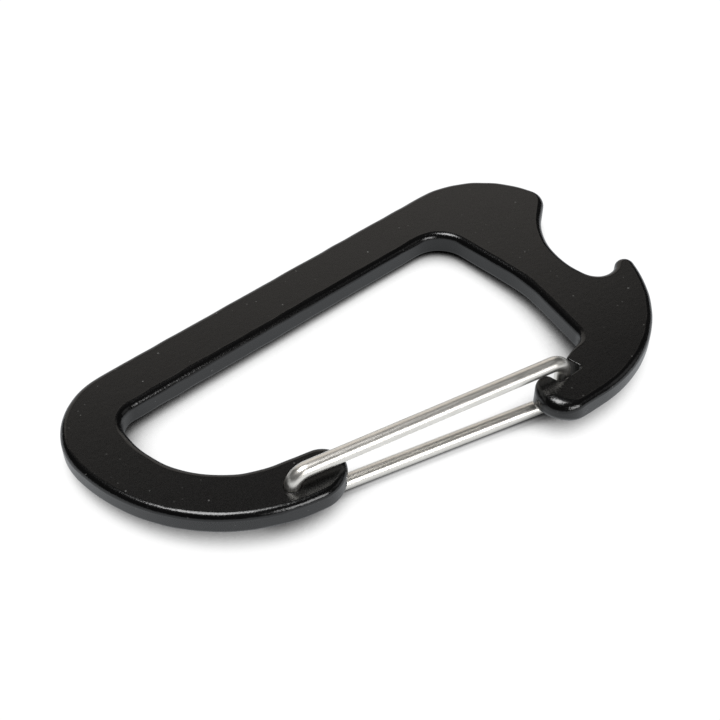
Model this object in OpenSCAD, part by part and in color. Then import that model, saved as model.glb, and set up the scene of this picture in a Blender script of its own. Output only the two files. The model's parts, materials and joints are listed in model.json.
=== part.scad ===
// Carabiner keyring with a crown-cap opener.
// A flat blanked hook is closed by one bent wire. The wire's two legs pass above and below
// the hook, its crossbar rests in a slot in the nose, and its two ends are the hinge.
// X runs along the spine towards the opener, Y towards the spine, Z through the plate.
// The origin is the centre of the whole object.

/* [Hook plate] */
// Overall length, narrow end to opener end
plate_l = 78.3; // [76:0.1:82]
// Overall width, nose to spine
plate_w = 43.3; // [43.3:0.1:46]
// Thickness of the sheet
plate_t = 3.5; // [3:0.1:4]
// Width of the straight spine
spine_w = 7.3; // [6.5:0.1:8]
// Width of the hinge arm
arm_w = 7.5; // [7.4:0.1:7.8]

/* [Wire gate] */
// Diameter of the wire
wire_d = 2; // [1.8:0.1:2]
// Air between each leg and the face of the plate
leg_gap = 1; // [1:0.1:1.5]
// Radius of each bend, to the middle of the wire
bend_r = 2; // [1.7:0.1:2]
// How far the gate swings open, in degrees
gate_swing = 26; // [10:1:28]

/* [Fits] */
// Running clearance on the radius, between the upper end and its bore
bore_play = 0.06; // [0.03:0.01:0.1]
// Clearance on each side of the lower end in its slot
slot_play = 0.15; // [0.1:0.01:0.2]
// Air between the crossbar and the floor of the nose slot
rest_gap = 0.1; // [0.05:0.01:0.2]

/* [Hidden] */

// Turn of one straight step on a rounded corner, in degrees
arc_step = 4;
// Sides of the round wire and its bores
$fn = 64;
// Overshoot of a cutting tool past a face
cut = 1;

wire_r = wire_d / 2;
leg_z = plate_t / 2 + leg_gap + wire_r;

// Corners of the outline before rounding, as [x, y, radius]. They run anticlockwise round
// the metal, from the narrow end's top corner. X is from the narrow end and Y from the nose.
arm_y = 9.5;
slot_floor_y = 4.75;
corners = [
    // Narrow end and hinge arm, outer edge
    [-1.1, plate_w, 10.2],
    [2, arm_y + 3.9, 24.2],
    [22.7, arm_y, 5],
    [29.1, arm_y + arm_w - 1.7, 3.1],
    // Basket and spine, inner edge
    [7.5, arm_y + arm_w + 3.2, 14.4],
    [7.7, plate_w - spine_w + 0.1, 3.1],
    [plate_l - 16.3, plate_w - spine_w - 0.1, 4.4],
    // Opener end, inner edge, down to the shoulder over the nose slot
    [plate_l - 14.3, 20.8, 23.5],
    [plate_l - 16.2, 8.6, 2.2],
    // Nose slot
    [plate_l - 20.8, slot_floor_y + 2.35, 0.4],
    [plate_l - 20.3, slot_floor_y, 0.3],
    [plate_l - 24.2, slot_floor_y, 0.5],
    // Nose finger, with its barb over the slot
    [plate_l - 24.7, slot_floor_y + 2.1, 1],
    [plate_l - 27.5, slot_floor_y + 2.15, 2.2],
    [plate_l - 28.6, 0.45, 3.7],
    // Opener end, outer edge, up to the hook of the opener
    [plate_l - 5.6, -0.7, 20.8],
    [plate_l + 1.2, 18, 1.4],
    // Mouth of the opener
    [plate_l - 3.2, 14.9, 0.8],
    [plate_l - 6.5, 13.8, 2.8],
    [plate_l - 8.4, 24.6, 11.7],
    [plate_l + 0.5, 31.7, 2.8],
    // Head, back to the spine
    [plate_l - 3.6, plate_w, 14.4]
];

// Vector of length 1 along v
function unit(v) = v / norm(v);

// Turn about Z that points +X along v
function heading(v) = atan2(v.y, v.x);

// Points of the arc of radius r that rounds corner b of the path a, b, c
function corner_arc(a, b, c, r) =
    let (
        to_a = unit(a - b),
        to_c = unit(c - b),
        half = acos(to_a * to_c) / 2,
        centre = b + unit(to_a + to_c) * r / sin(half),
        first = b + to_a * r / tan(half) - centre,
        side = sign(cross(to_c, to_a)),
        sweep = side * (180 - 2 * half),
        start = heading(first),
        steps = ceil(abs(sweep) / arc_step)
    )
    [for (i = [0:steps]) centre + r * [cos(start + sweep * i / steps), sin(start + sweep * i / steps)]];

// Outline with every corner rounded
function rounded(list) =
    let (n = len(list))
    [for (i = [0:n - 1])
        let (a = list[(i + n - 1) % n], b = list[i], c = list[(i + 1) % n])
        each corner_arc([a.x, a.y], [b.x, b.y], [c.x, c.y], b.z)];

outline = rounded(corners);
low = [min([for (p = outline) p.x]), min([for (p = outline) p.y])];
high = [max([for (p = outline) p.x]), max([for (p = outline) p.y])];
middle = (low + high) / 2;

// Upper end, lower end and crossbar of the wire, seen from above
upper_end = [18.05, arm_y + 3.95] - middle;
lower_end = upper_end + [-2.7, 2.35];
crossbar = [plate_l - 22.65, slot_floor_y + wire_r + rest_gap] - middle;

// Depth of the slot that holds the lower end, and how far each end stops short of its far side
slot_depth = 2.3;
end_gap = 0.3;
end_chamfer = 0.25;

// The two halves of the crossbar are at a slight angle to each other, so a core that is
// a hair thinner joins them over a narrow gap
joint_gap = 0.1;
joint_step = 0.01;

// Slot below the arm, bent round the upper end so that the lower end can swing in it
module lower_end_slot() {
    swing_r = norm(lower_end - upper_end);
    slot_w = wire_d + 2 * slot_play;
    translate([upper_end.x, upper_end.y, -plate_t / 2 - cut])
        rotate(heading(lower_end - upper_end)) {
            rotate_extrude(angle = gate_swing)
                translate([swing_r - slot_w / 2, 0])
                    square([slot_w, slot_depth + cut]);
            for (turn = [0, gate_swing])
                rotate(turn)
                    translate([swing_r, 0])
                        cylinder(d = slot_w, h = slot_depth + cut);
        }
}

// Hook, with the bore and the slot of the hinge
module frame_plate() {
    color("#1e1e20")
        difference() {
            translate([-middle.x, -middle.y, -plate_t / 2])
                linear_extrude(plate_t)
                    polygon(outline);
            translate([upper_end.x, upper_end.y, -plate_t / 2 - cut])
                cylinder(r = wire_r + bore_play, h = plate_t + 2 * cut);
            lower_end_slot();
        }
}

// Bend from straight up to level along +X, starting at the origin
module bend() {
    translate([bend_r, 0, 0])
        rotate([90, 0, 0])
            rotate(90)
                rotate_extrude(angle = 90)
                    translate([bend_r, 0])
                        circle(wire_r);
}

// Half of the gate: the hinge end, the leg and the crossbar down to its middle.
// The hinge end points down and is drop long from the level of the leg.
module half_gate(from, to, drop) {
    reach = norm(to - from);
    translate([from.x, from.y, 0])
        rotate(heading(to - from)) {
            translate([0, 0, leg_z - drop]) {
                cylinder(r1 = wire_r - end_chamfer, r2 = wire_r, h = end_chamfer);
                translate([0, 0, end_chamfer])
                    cylinder(r = wire_r, h = drop - bend_r - end_chamfer);
            }
            translate([0, 0, leg_z - bend_r])
                bend();
            translate([bend_r, 0, leg_z])
                rotate([0, 90, 0])
                    cylinder(r = wire_r, h = reach - 2 * bend_r);
            translate([reach, 0, leg_z - bend_r])
                mirror([1, 0, 0])
                    bend();
            translate([reach, 0, joint_gap / 2])
                cylinder(r = wire_r, h = leg_z - bend_r - joint_gap / 2);
        }
}

// Closed wire loop that straddles the plate
module wire_gate() {
    color("#d8d8d4") {
        half_gate(upper_end, crossbar, leg_z + plate_t / 2 - end_gap);
        mirror([0, 0, 1])
            half_gate(lower_end, crossbar, leg_z - plate_t / 2 + slot_depth - end_gap);
        translate([crossbar.x, crossbar.y, 0])
            cylinder(r = wire_r - joint_step, h = plate_t / 2, center = true);
    }
}

frame_plate();
wire_gate();
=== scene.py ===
"""Carabiner keyring with a crown-cap opener: the looks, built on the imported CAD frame.

Everything is in metres, in the CAD's own frame. The flat hook is rebuilt as a fine mesh with
worn, rounded rims along the CAD's own edges, and the wire as one smooth sweep.
"""

import json
from math import ceil, cos, pi, radians, sin

import bmesh
import bpy
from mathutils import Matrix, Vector, noise


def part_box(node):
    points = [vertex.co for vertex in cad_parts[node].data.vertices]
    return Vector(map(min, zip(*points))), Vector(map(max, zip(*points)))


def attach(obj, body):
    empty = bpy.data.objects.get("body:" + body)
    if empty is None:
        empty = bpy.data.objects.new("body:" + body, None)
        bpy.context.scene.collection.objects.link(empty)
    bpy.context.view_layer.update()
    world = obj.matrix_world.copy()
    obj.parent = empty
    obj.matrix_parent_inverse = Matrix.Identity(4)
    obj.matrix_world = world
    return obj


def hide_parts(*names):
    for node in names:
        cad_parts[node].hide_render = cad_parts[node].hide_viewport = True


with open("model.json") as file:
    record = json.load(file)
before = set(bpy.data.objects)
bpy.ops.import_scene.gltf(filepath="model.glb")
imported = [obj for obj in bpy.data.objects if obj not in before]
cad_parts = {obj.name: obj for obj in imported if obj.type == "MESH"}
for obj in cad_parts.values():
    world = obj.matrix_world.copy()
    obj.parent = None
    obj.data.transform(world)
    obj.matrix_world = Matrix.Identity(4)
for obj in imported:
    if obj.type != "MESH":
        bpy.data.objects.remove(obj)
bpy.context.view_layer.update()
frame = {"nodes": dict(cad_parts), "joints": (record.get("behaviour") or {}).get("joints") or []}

MM = 0.001


# ---------------------------------------------------------------- sizes

PLATE = frame["nodes"]["frame_plate"]
HINGE = frame["joints"][0]["pos_m"]
PLATE_LOW, PLATE_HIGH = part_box("frame_plate")
WIRE_LOW, WIRE_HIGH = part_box("wire_gate")

# The wire is 2 mm round stock, and its bends have a 2 mm radius at the middle of the wire
WIRE_R = 1.0 * MM
BEND_R = 2.0 * MM
END_CHAMFER = 0.25 * MM
LEG_Z = WIRE_HIGH.z - WIRE_R
UPPER_END = Vector((HINGE[0], HINGE[1]))
LOWER_END = Vector((WIRE_LOW.x + WIRE_R, WIRE_HIGH.y - WIRE_R))
CROSSBAR = Vector((WIRE_HIGH.x - WIRE_R, WIRE_LOW.y + WIRE_R))

# Heights of the wire's two ends: the upper one stops just above the plate's underside, and the
# lower one goes most of the way up its blind slot
UPPER_TIP_Z = PLATE_LOW.z + 0.3 * MM
LOWER_TIP_Z = PLATE_LOW.z + 2.0 * MM

# How finely the wire is made: sides, pieces in a bend, and longest pieces of ends and legs
WIRE_SIDES = 56
BEND_PIECES = 14
END_STEP = 0.5 * MM
LEG_STEP = 0.8 * MM

# Rounding of the plate's rims, worn wide outside and left tight in the nose slot and the holes.
# A rim wider than RIM_HIGH is an ellipse, so that the upper and lower rims stay apart.
RIM_WIDE = 1.0 * MM
RIM_TIGHT = 0.3 * MM
RIM_HOLE = 0.12 * MM
RIM_HIGH = 1.6 * MM
RIM_STEPS = 9
# From the crossbar, the tight rims end at the first distance and the wide ones start at the second
TIGHT_REACH = 3.2 * MM
WIDE_START = 6.7 * MM
# The wide rims vary by this share of their width, over patches of this size
WEAR_SHARE = 0.12
WEAR_SIZE = 2.6 * MM
# The tip of the nose, from the crossbar, is worn rounder than the rest within this reach
NOSE = Vector((-5.8, -3)) * MM
NOSE_REACH = 5.5 * MM
NOSE_WEAR = 1.2

# Longest steps round the outline and round the holes, and the side length of the CAD's outline
# above which a side is a straight stretch and not a piece of an arc
LOOP_STEP = 0.3 * MM
HOLE_STEP = 0.1 * MM
STRAIGHT = 2 * MM

# Faces whose normal is nearer to Z than this are level, and levels closer than this are the same
LEVEL_COS = 0.99
SAME = 0.01 * MM


# ---------------------------------------------------------------- the CAD's edges

def smooth(share):
    """Eases a share from 0 to 1 in and out."""
    return share * share * (3 - 2 * share)


def flat_levels(bm):
    """Heights of the plate's level faces, lowest first."""
    levels = []
    for face in bm.faces:
        if abs(face.normal.z) > LEVEL_COS:
            z = face.calc_center_median().z
            if all(abs(z - other) > SAME for other in levels):
                levels.append(z)
    return sorted(levels)


def rim_loops(bm, level):
    """Closed rings of points round the level faces at a height, with the metal on the left."""
    flat = [
        face for face in bm.faces
        if abs(face.normal.z) > LEVEL_COS and abs(face.calc_center_median().z - level) < SAME
    ]
    inside = set(flat)
    ahead = {}
    for face in flat:
        for loop in face.loops:
            if all(other in inside for other in loop.edge.link_faces):
                continue
            start, end = loop.vert, loop.link_loop_next.vert
            if face.normal.z < 0:
                start, end = end, start
            ahead[start] = end
    rings = []
    while ahead:
        vert = next(iter(ahead))
        ring = []
        while vert in ahead:
            ring.append(vert.co.xy)
            vert = ahead.pop(vert)
        rings.append(ring)
    return rings


def ring_centre(ring):
    """Mean of a ring's points."""
    return sum(ring, Vector((0, 0))) / len(ring)


def smooth_ring(ring, step):
    """A ring with points no further apart than step, on the curve through its corners.
    Each entry is (point, direction of travel)."""
    count = len(ring)
    sides = [ring[(i + 1) % count] - ring[i] for i in range(count)]
    result = []
    for i in range(count):
        side = sides[i]
        length = side.length
        if length > STRAIGHT:
            leave = arrive = side.normalized()
        else:
            before, after = sides[i - 1], sides[(i + 1) % count]
            leave = (side.normalized() + before.normalized()).normalized()
            arrive = (side.normalized() + after.normalized()).normalized()
            if before.length > STRAIGHT:
                leave = before.normalized()
            if after.length > STRAIGHT:
                arrive = after.normalized()
        pieces = max(1, ceil(length / step))
        for k in range(pieces):
            t = k / pieces
            point = (
                ring[i] * (2 * t ** 3 - 3 * t ** 2 + 1)
                + leave * length * (t ** 3 - 2 * t ** 2 + t)
                + ring[(i + 1) % count] * (3 * t ** 2 - 2 * t ** 3)
                + arrive * length * (t ** 3 - t ** 2)
            )
            travel = leave.lerp(arrive, t).normalized()
            result.append((point, travel))
    return result


# ---------------------------------------------------------------- mesh building

def finish_mesh(name, verts, faces, normals, bands):
    """A smooth-shaded object with the given point normals and a float attribute per point."""
    mesh = bpy.data.meshes.new(name)
    mesh.from_pydata(verts, [], faces)
    mesh.update()
    mesh.shade_smooth()
    for key, values in bands.items():
        attribute = mesh.attributes.new(key, "FLOAT", "POINT")
        attribute.data.foreach_set("value", values)
    mesh.normals_split_custom_set_from_vertices(normals)
    thing = bpy.data.objects.new(name, mesh)
    bpy.context.scene.collection.objects.link(thing)
    return thing


class Skin:
    """Points, normals, faces and one number per point, its mark, of a growing mesh."""

    def __init__(self):
        self.verts = []
        self.normals = []
        self.marks = []
        self.faces = []

    def ring(self, points, normals, mark):
        """Adds a ring of points with one mark, and gives their numbers."""
        start = len(self.verts)
        self.verts.extend(points)
        self.normals.extend(normals)
        self.marks.extend([mark] * len(points))
        return list(range(start, len(self.verts)))

    def band(self, low, high):
        """Faces between two rings of equal count. Low comes first when seen from the free side."""
        count = len(low)
        for i in range(count):
            j = (i + 1) % count
            self.faces.append((low[i], low[j], high[j], high[i]))


def rim_width(point, hole):
    """Radius of the rounded rim at a point of an edge."""
    if hole:
        return RIM_HOLE
    away = (point - CROSSBAR).length
    share = smooth(min(1, max(0, (away - TIGHT_REACH) / (WIDE_START - TIGHT_REACH))))
    wear = noise.noise(Vector((point.x, point.y, 0)) / WEAR_SIZE)
    nose = max(0, 1 - (point - CROSSBAR - NOSE).length / NOSE_REACH)
    wide = RIM_WIDE * (1 + WEAR_SHARE * wear + NOSE_WEAR * smooth(nose))
    return RIM_TIGHT + (wide - RIM_TIGHT) * share


def rim_rows(level, side, rounded):
    """Rows of a wall's rim at a level, from the wall to the level face, each (level, side, tilt).
    Side is 1 below and -1 above. Tilt goes from 0 on the wall to a right angle on the face."""
    if not rounded:
        return [(level, 0, 0)]
    return [(level, side, pi / 2 * k / RIM_STEPS) for k in range(RIM_STEPS + 1)]


def wall(skin, ring, low, high, hole=False, round_high=True):
    """The side of the plate along a ring, with its rims rounded. Gives its first and last ring."""
    outward = [Vector((travel.y, -travel.x)) for _, travel in ring]
    widths = [rim_width(point, hole) for point, _ in ring]
    rows = rim_rows(low, 1, True)[::-1] + rim_rows(high, -1, round_high)
    rings = []
    for level, side, tilt in rows:
        points = []
        normals = []
        for (point, _), out, width in zip(ring, outward, widths):
            height = min(width, RIM_HIGH)
            inset = width * (1 - cos(tilt)) if side else 0
            lift = height * (1 - sin(tilt)) * side
            flat = point - out * inset
            x = min(max(flat.x, PLATE_LOW.x), PLATE_HIGH.x)
            y = min(max(flat.y, PLATE_LOW.y), PLATE_HIGH.y)
            points.append((x, y, level + lift))
            level_part = out * cos(tilt) * height
            normals.append(Vector((*level_part, -side * sin(tilt) * width)).normalized())
        rings.append(skin.ring(points, normals, sin(2 * tilt) if side else 0))
    for one, two in zip(rings, rings[1:]):
        skin.band(one, two)
    return rings[0], rings[-1]


def fill(skin, rings, up):
    """Level faces inside the first ring and outside the others."""
    bm = bmesh.new()
    edges = []
    numbers = {}
    for ring in rings:
        made = []
        for index in ring:
            vert = bm.verts.new(skin.verts[index])
            numbers[vert] = index
            made.append(vert)
        for i, vert in enumerate(made):
            edges.append(bm.edges.new((vert, made[(i + 1) % len(made)])))
    filled = bmesh.ops.triangle_fill(bm, use_beauty=True, use_dissolve=False, edges=edges)
    for face in filled["geom"]:
        if isinstance(face, bmesh.types.BMFace):
            corners = [numbers[vert] for vert in face.verts]
            if (face.normal.z > 0) != up:
                corners.reverse()
            skin.faces.append(tuple(corners))
    bm.free()


def make_plate():
    """The blanked hook, with rounded rims, the hinge bore and the blind slot of the lower end."""
    bm = bmesh.new()
    bm.from_mesh(PLATE.data)
    bmesh.ops.remove_doubles(bm, verts=bm.verts, dist=0.001 * MM)
    bm.normal_update()
    levels = flat_levels(bm)
    low = levels[0]
    slot_floor = levels[1]
    high = levels[-1]
    # On top, the bore has the fewest corners and the outline the most
    top = sorted(rim_loops(bm, high), key=len)
    under = rim_loops(bm, low)
    slot = min(under, key=lambda ring: (ring_centre(ring) - LOWER_END).length)
    bm.free()

    outline = smooth_ring(top[-1], LOOP_STEP)
    bore = smooth_ring(top[0], HOLE_STEP)
    recess = smooth_ring(slot, HOLE_STEP)

    skin = Skin()
    outer_low, outer_high = wall(skin, outline, low, high)
    bore_low, bore_high = wall(skin, bore, low, high, hole=True)
    slot_low, slot_high = wall(skin, recess, low, slot_floor, hole=True, round_high=False)
    fill(skin, [outer_high, bore_high], up=True)
    fill(skin, [outer_low, bore_low, slot_low], up=False)
    floor_ring = skin.ring([skin.verts[i] for i in slot_high], [(0, 0, -1)] * len(slot_high), 0)
    fill(skin, [floor_ring], up=False)
    return finish_mesh("hook_plate", skin.verts, skin.faces, skin.normals, {"rim": skin.marks})


# ---------------------------------------------------------------- wire

def wire_path():
    """Middle line of the wire, from its end in the bore, over, round and back to the blind slot."""

    def bend(origin, first, second):
        """Quarter turn that starts at origin going along first and leaves along second."""
        for k in range(1, BEND_PIECES + 1):
            angle = pi / 2 * k / BEND_PIECES
            yield origin + (first * sin(angle) + second * (1 - cos(angle))) * BEND_R

    def line(start, end, step):
        """Straight stretch in pieces no longer than step, without its start."""
        count = max(1, ceil((end - start).length / step))
        for k in range(1, count + 1):
            yield start.lerp(end, k / count)

    up = Vector((0, 0, 1))
    along_up = Vector((*(CROSSBAR - UPPER_END).normalized(), 0))
    along_low = Vector((*(CROSSBAR - LOWER_END).normalized(), 0))
    end_up = Vector((*UPPER_END, 0))
    end_low = Vector((*LOWER_END, 0))
    bar = Vector((*CROSSBAR, 0))

    points = [end_up + up * UPPER_TIP_Z]
    points += line(points[-1], end_up + up * (LEG_Z - BEND_R), END_STEP)
    points += bend(points[-1], up, along_up)
    points += line(points[-1], bar - along_up * BEND_R + up * LEG_Z, LEG_STEP)
    points += bend(points[-1], along_up, -up)
    points += line(points[-1], bar + up * (BEND_R - LEG_Z), END_STEP)
    points += bend(points[-1], -up, -along_low)
    points += line(points[-1], end_low + along_low * BEND_R - up * LEG_Z, LEG_STEP)
    points += bend(points[-1], -along_low, up)
    points += line(points[-1], end_low + up * LOWER_TIP_Z, END_STEP)
    return points


def wire_rings(point, ahead, first, last):
    """Rings of the wire at a point of its path, each (middle, radius, lean), where lean tips the
    normals along the wire. The two ends have a chamfer, whose edge is sharp: two rings in one place."""
    if not first and not last:
        return [(point, WIRE_R, 0)]
    lean = -1 if first else 1
    shoulder = point - ahead * END_CHAMFER * lean
    rings = [(point, WIRE_R - END_CHAMFER, lean), (shoulder, WIRE_R, lean), (shoulder, WIRE_R, 0)]
    return rings if first else rings[::-1]


def make_wire():
    """One round wire swept along its middle line, with a small chamfer at both ends."""
    path = wire_path()
    final = len(path) - 1
    skin = Skin()
    across = Vector((1, 0, 0))
    travelled = 0
    previous = None
    rings = []
    places = []
    for i, point in enumerate(path):
        ahead = path[min(i + 1, final)] - path[max(i - 1, 0)]
        ahead.normalize()
        if previous is not None:
            turn = previous.rotation_difference(ahead)
            across = turn @ across
            travelled += (point - path[i - 1]).length
        across = (across - ahead * across.dot(ahead)).normalized()
        side = ahead.cross(across)
        previous = ahead
        for middle, radius, lean in wire_rings(point, ahead, i == 0, i == final):
            points = []
            normals = []
            for k in range(WIRE_SIDES):
                angle = 2 * pi * k / WIRE_SIDES
                out = across * cos(angle) + side * sin(angle)
                points.append(middle + out * radius)
                normals.append((out + ahead * lean).normalized())
            rings.append(skin.ring(points, normals, travelled))
            places.append((middle, radius))
    for k in range(len(rings) - 1):
        if places[k] != places[k + 1]:
            skin.band(rings[k], rings[k + 1])
    for ring, facing in ((rings[0], path[0] - path[1]), (rings[-1], path[-1] - path[-2])):
        cap = skin.ring([skin.verts[k] for k in ring], [facing.normalized()] * WIRE_SIDES, 0)
        skin.faces.append(tuple(cap if ring is rings[-1] else reversed(cap)))
    around = [(k % WIRE_SIDES) / WIRE_SIDES for k in range(len(skin.verts))]
    bands = {"along": skin.marks, "around": around}
    return finish_mesh("gate_wire", skin.verts, skin.faces, skin.normals, bands)


# ---------------------------------------------------------------- materials

class Nodes:
    """Shorthand for building a node material."""

    def __init__(self, name):
        self.material = bpy.data.materials.new(name)
        self.material.use_nodes = True
        self.tree = self.material.node_tree
        self.shader = self.tree.nodes["Principled BSDF"]

    def add(self, kind, **settings):
        node = self.tree.nodes.new(kind)
        for key, value in settings.items():
            setattr(node, key, value)
        return node

    def link(self, source, target):
        self.tree.links.new(source, target)

    def coordinates(self):
        return self.add("ShaderNodeTexCoord").outputs["Object"]

    def noise(self, vector, size, detail=2, roughness=0.5):
        """Noise whose features are about size metres across."""
        node = self.add("ShaderNodeTexNoise")
        node.inputs["Scale"].default_value = 1 / size
        node.inputs["Detail"].default_value = detail
        node.inputs["Roughness"].default_value = roughness
        self.link(vector, node.inputs["Vector"])
        return node.outputs["Fac"]

    def spread(self, value, low, high, new_low, new_high):
        """Value eased from the range low to high into the range new_low to new_high."""
        node = self.add("ShaderNodeMapRange", clamp=True, interpolation_type="SMOOTHSTEP")
        node.inputs["From Min"].default_value = low
        node.inputs["From Max"].default_value = high
        node.inputs["To Min"].default_value = new_low
        node.inputs["To Max"].default_value = new_high
        self.link(value, node.inputs["Value"])
        return node.outputs["Result"]

    def maths(self, operation, *values):
        node = self.add("ShaderNodeMath", operation=operation)
        for socket, value in zip(node.inputs, values):
            if isinstance(value, (int, float)):
                socket.default_value = value
            else:
                self.link(value, socket)
        return node.outputs["Value"]

    def blend(self, share, one, two):
        """Colour that runs from one to two with share."""
        node = self.add("ShaderNodeMix", data_type="RGBA")
        self.link(share, node.inputs["Factor"])
        for key, value in (("A", one), ("B", two)):
            socket = next(s for s in node.inputs if s.name == key and s.type == "RGBA")
            if isinstance(value, tuple):
                socket.default_value = (*value, 1)
            else:
                self.link(value, socket)
        return next(s for s in node.outputs if s.type == "RGBA")

    def bump(self, height, distance, strength, after=None):
        """Normal bent by a height map whose full height is distance, on top of an earlier one."""
        node = self.add("ShaderNodeBump")
        node.inputs["Strength"].default_value = strength
        node.inputs["Distance"].default_value = distance
        self.link(height, node.inputs["Height"])
        if after is not None:
            self.link(after, node.inputs["Normal"])
        return node.outputs["Normal"]

    def glow(self, colour, strength):
        node = self.add("ShaderNodeEmission")
        self.link(colour, node.inputs["Color"])
        self.link(strength, node.inputs["Strength"])
        return node.outputs["Emission"]

    def attribute(self, name):
        return self.add("ShaderNodeAttribute", attribute_name=name).outputs["Fac"]


def black_coat():
    """Satin black coat on tumbled sheet: soft orange peel, fine grain, glints along the rims and
    a few pale specks."""
    black = (0.001, 0.001, 0.0011)
    warm_black = (0.0017, 0.0016, 0.0017)
    pale_grey = (0.35, 0.35, 0.34)
    speck_cell = 1.1 * MM
    m = Nodes("black_coat")
    where = m.coordinates()
    rim = m.attribute("rim")
    cloud = m.noise(where, 6 * MM, 3)
    peel = m.noise(where, 0.55 * MM, 2, 0.55)
    grain = m.noise(where, 0.09 * MM, 2, 0.6)
    dents = m.noise(where, 1.6 * MM, 2, 0.5)
    glints = m.noise(where, 0.3 * MM, 2, 0.6)

    # Some of the cells hold a speck, paler where the cloud noise is high
    specks = m.add("ShaderNodeTexVoronoi", feature="F1", distance="EUCLIDEAN")
    specks.inputs["Scale"].default_value = 1 / speck_cell
    m.link(where, specks.inputs["Vector"])
    dot = m.spread(specks.outputs["Distance"], 0.07, 0.13, 1, 0)
    pick = m.add("ShaderNodeSeparateColor")
    m.link(specks.outputs["Color"], pick.inputs["Color"])
    few = m.spread(pick.outputs["Red"], 0.4, 0.9, 0, 0.65)
    few = m.maths("MULTIPLY", few, m.spread(cloud, 0.42, 0.6, 0.25, 1))
    dust = m.maths("MULTIPLY", dot, few)

    coat = m.blend(m.spread(cloud, 0.3, 0.7, 0, 1), black, warm_black)
    coat = m.blend(m.maths("MULTIPLY", dust, 0.5), coat, pale_grey)
    m.link(coat, m.shader.inputs["Base Color"])
    gloss = m.spread(grain, 0.3, 0.7, 0.22, 0.32)
    gloss = m.maths("SUBTRACT", gloss, m.maths("MULTIPLY", rim, 0.1))
    m.link(gloss, m.shader.inputs["Roughness"])
    m.shader.inputs["IOR"].default_value = 1.5

    # Tumbling leaves its deepest dents along the rims, and glints only there
    worn = m.spread(rim, 0, 0.4, 0.25, 1)
    normal = m.bump(m.maths("MULTIPLY", dents, worn), 0.04 * MM, 0.7)
    normal = m.bump(peel, 0.016 * MM, 0.4, normal)
    normal = m.bump(grain, 0.003 * MM, 0.5, normal)
    normal = m.bump(m.maths("MULTIPLY", glints, rim), 0.03 * MM, 0.8, normal)
    m.link(normal, m.shader.inputs["Normal"])
    return m.material


def bright_wire():
    """Drawn stainless spring wire: polished, with faint marks along its length."""
    steel_grey = (0.79, 0.765, 0.715)
    pale_steel = (0.85, 0.825, 0.775)
    dull_steel = (0.55, 0.54, 0.5)
    per_metre = 60
    m = Nodes("bright_wire")
    where = m.coordinates()
    around = m.attribute("around")
    along = m.attribute("along")
    # The noise runs round a circle and only slowly along the wire, so its features are long lines
    turn = m.maths("MULTIPLY", around, 2 * pi)
    joined = m.add("ShaderNodeCombineXYZ")
    m.link(m.maths("COSINE", turn), joined.inputs["X"])
    m.link(m.maths("SINE", turn), joined.inputs["Y"])
    m.link(m.maths("MULTIPLY", along, per_metre), joined.inputs["Z"])
    lines = m.noise(joined.outputs["Vector"], 0.16, 3, 0.6)
    cloud = m.noise(where, 3 * MM, 2)

    steel = m.blend(m.spread(cloud, 0.3, 0.7, 0, 1), steel_grey, pale_steel)
    steel = m.blend(m.spread(lines, 0.55, 0.75, 0, 0.12), steel, dull_steel)
    m.link(steel, m.shader.inputs["Base Color"])
    m.shader.inputs["Metallic"].default_value = 1.0
    m.link(m.spread(lines, 0.3, 0.7, 0.31, 0.38), m.shader.inputs["Roughness"])
    m.link(m.bump(lines, 0.002 * MM, 0.4), m.shader.inputs["Normal"])
    return m.material


# How far from the object the paper's painted shadow, taken from ambient occlusion, still darkens its
# glow
PAINTED_SHADOW_REACH = 30 * MM
# Full strength of the paper's glow, as the object mirrors it and as the camera sees it
PAPER_LIGHT = 0.88
PRINT_LIGHT = 1.06


def white_sweep():
    """White studio paper that glows by itself, its glow darkened close to the object by a painted
    shadow taken from ambient occlusion.
    The camera sees that glow printed up to white; the object mirrors a painted copy of it, a little
    darker and cooler.
    It can be looked through from below."""
    m = Nodes("white_sweep")
    fibre = m.noise(m.coordinates(), 30 * MM, 2)
    paper = m.blend(m.spread(fibre, 0.2, 0.8, 0, 1), (0.98, 0.98, 0.98), (1, 1, 1))
    cool = m.blend(m.spread(fibre, 0.2, 0.8, 0, 1), (0.93, 0.965, 1), (0.95, 0.975, 1))
    # Painted shadow: the paper's glow falls off with ambient occlusion near the object, standing in for
    # the light the object blocks
    painted_shadow = m.add("ShaderNodeAmbientOcclusion", samples=24)
    painted_shadow.inputs["Distance"].default_value = PAINTED_SHADOW_REACH
    printed = m.glow(paper, m.spread(painted_shadow.outputs["AO"], 0.18, 0.68, 0, PRINT_LIGHT))
    painted_mirror_copy = m.glow(cool, m.spread(painted_shadow.outputs["AO"], 0.1, 0.8, 0, PAPER_LIGHT))
    # Camera rays see the printed glow; reflections see the painted copy, darker and cooler
    path = m.add("ShaderNodeLightPath")
    both = m.add("ShaderNodeMixShader")
    m.link(path.outputs["Is Camera Ray"], both.inputs["Fac"])
    m.link(painted_mirror_copy, both.inputs[1])
    m.link(printed, both.inputs[2])
    under = m.add("ShaderNodeMixShader")
    m.link(m.add("ShaderNodeNewGeometry").outputs["Backfacing"], under.inputs["Fac"])
    m.link(both.outputs["Shader"], under.inputs[1])
    m.link(m.add("ShaderNodeBsdfTransparent").outputs["BSDF"], under.inputs[2])
    m.link(under.outputs["Shader"], m.tree.nodes["Material Output"].inputs["Surface"])
    return m.material


# ---------------------------------------------------------------- studio

# The camera looks at AIM from DISTANCE away and ELEVATION up. HEADING turns its way ahead from Y
# towards X.
AIM = Vector((-0.98, 3.36, 0)) * MM
DISTANCE = 174.03 * MM
ELEVATION = radians(47)
HEADING = radians(40.1)
AHEAD = Vector((sin(HEADING), cos(HEADING), 0))
RIGHT = Vector((cos(HEADING), -sin(HEADING), 0))
LENS_MM = 67.2
SENSOR_MM = 36

FLOOR_GAP = 0.01 * MM
FLOOR_REACH = 1.5
LAMP_DISTANCE = 1.0


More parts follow.
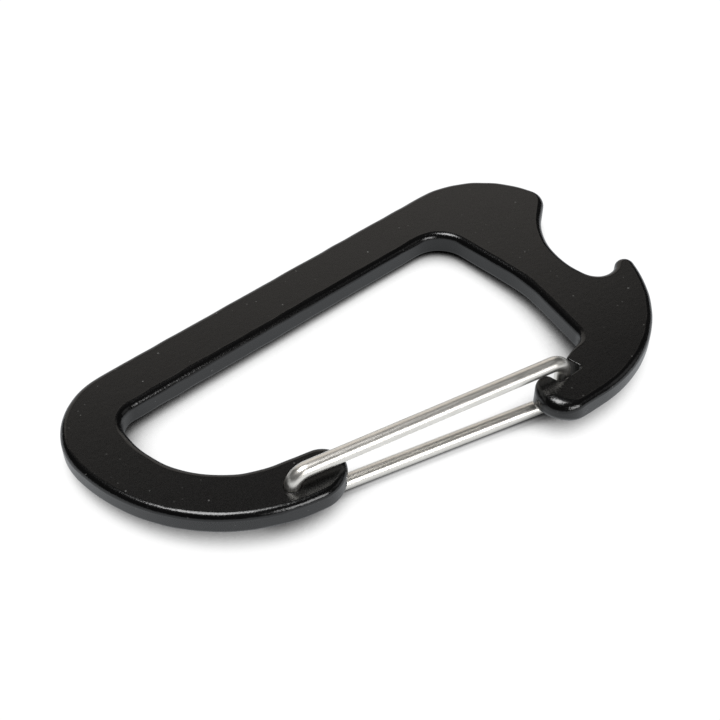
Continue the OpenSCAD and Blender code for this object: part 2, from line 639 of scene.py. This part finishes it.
def resting_plane():
    """Point and normal of the plane the object lies on: the line under the lower leg, and the
    first point of the hook's underside that a plane turned up about that line meets."""
    leg = (CROSSBAR - LOWER_END).normalized()
    rise = Vector((-leg.y, leg.x))
    slope = min(
        (vert.co.z - WIRE_LOW.z) / (vert.co.xy - LOWER_END).dot(rise)
        for vert in PLATE.data.vertices
        if (vert.co.xy - LOWER_END).dot(rise) > WIRE_R
    )
    touch = Vector((*LOWER_END, WIRE_LOW.z - FLOOR_GAP))
    return touch, Vector((-rise.x * slope, -rise.y * slope, 1)).normalized()


def make_floor():
    """A large sheet of paper in the plane the object lies on."""
    point, normal = resting_plane()
    across = normal.cross(Vector((0, 1, 0))).normalized() * FLOOR_REACH
    along = normal.cross(across)
    corners = [
        point - across - along,
        point + across - along,
        point + across + along,
        point - across + along,
    ]
    mesh = bpy.data.meshes.new("floor")
    mesh.from_pydata(corners, [], [(0, 1, 2, 3)])
    thing = bpy.data.objects.new("floor", mesh)
    bpy.context.scene.collection.objects.link(thing)
    mesh.materials.append(white_sweep())


def make_camera():
    """The main camera, turned to look at AIM."""
    data = bpy.data.cameras.new("camera")
    data.lens = LENS_MM
    data.sensor_width = SENSOR_MM
    data.clip_start = 0.01
    data.clip_end = 10
    thing = bpy.data.objects.new("camera", data)
    bpy.context.scene.collection.objects.link(thing)
    back = -AHEAD * cos(ELEVATION) + Vector((0, 0, sin(ELEVATION)))
    thing.location = AIM + back * DISTANCE
    thing.rotation_mode = "QUATERNION"
    thing.rotation_quaternion = (-back).to_track_quat("-Z", "Y")
    bpy.context.scene.camera = thing


def toward(azimuth, elevation):
    """Unit vector seen from the object: azimuth from straight behind it, positive to the right."""
    turn = radians(azimuth)
    rise = radians(elevation)
    return (AHEAD * cos(turn) + RIGHT * sin(turn)) * cos(rise) + Vector((0, 0, sin(rise)))


def softbox(name, azimuth, elevation, width, height, radiance, tint=(1, 1, 1)):
    """Rectangular light of even radiance that faces the object."""
    data = bpy.data.lights.new(name, "AREA")
    data.shape = "RECTANGLE"
    data.size = width
    data.size_y = height
    data.energy = radiance * pi * width * height
    data.color = tint
    thing = bpy.data.objects.new(name, data)
    bpy.context.scene.collection.objects.link(thing)
    back = toward(azimuth, elevation)
    thing.location = back * LAMP_DISTANCE
    thing.rotation_mode = "QUATERNION"
    thing.rotation_quaternion = back.to_track_quat("Z", "Y")
    thing.visible_camera = False


def make_studio():
    """A dim room with a bright softbox high at the front left, a weaker low one at the front
    right, a large dim one behind the object and a very weak one at its right. Beyond the floor
    the camera sees white paper."""
    world = bpy.data.worlds.new("room")
    world.use_nodes = True
    nodes = world.node_tree.nodes
    links = world.node_tree.links
    room = nodes["Background"]
    room.inputs["Color"].default_value = (1, 1, 1, 1)
    room.inputs["Strength"].default_value = 0.05
    paper = nodes.new("ShaderNodeBackground")
    paper.inputs["Color"].default_value = (1, 1, 1, 1)
    both = nodes.new("ShaderNodeMixShader")
    links.new(nodes.new("ShaderNodeLightPath").outputs["Is Camera Ray"], both.inputs["Fac"])
    links.new(room.outputs["Background"], both.inputs[1])
    links.new(paper.outputs["Background"], both.inputs[2])
    links.new(both.outputs["Shader"], nodes["World Output"].inputs["Surface"])
    bpy.context.scene.world = world
    softbox("overhead", -130, 78, 0.45, 0.45, 13.0)
    softbox("front", 141, 20, 0.5, 0.45, 6.5)
    softbox("backdrop", -17, 24, 1.2, 0.9, 0.68, tint=(1.06, 1, 0.93))
    softbox("side", 88, 25, 0.5, 0.5, 0.4)


# ---------------------------------------------------------------- assembly

plate = make_plate()
plate.data.materials.append(black_coat())
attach(plate, "hook")
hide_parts("frame_plate")

wire = make_wire()
wire.data.materials.append(bright_wire())
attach(wire, "gate")
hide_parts("wire_gate")

make_floor()
make_camera()
make_studio()
bpy.context.scene.view_settings.view_transform = "Standard"
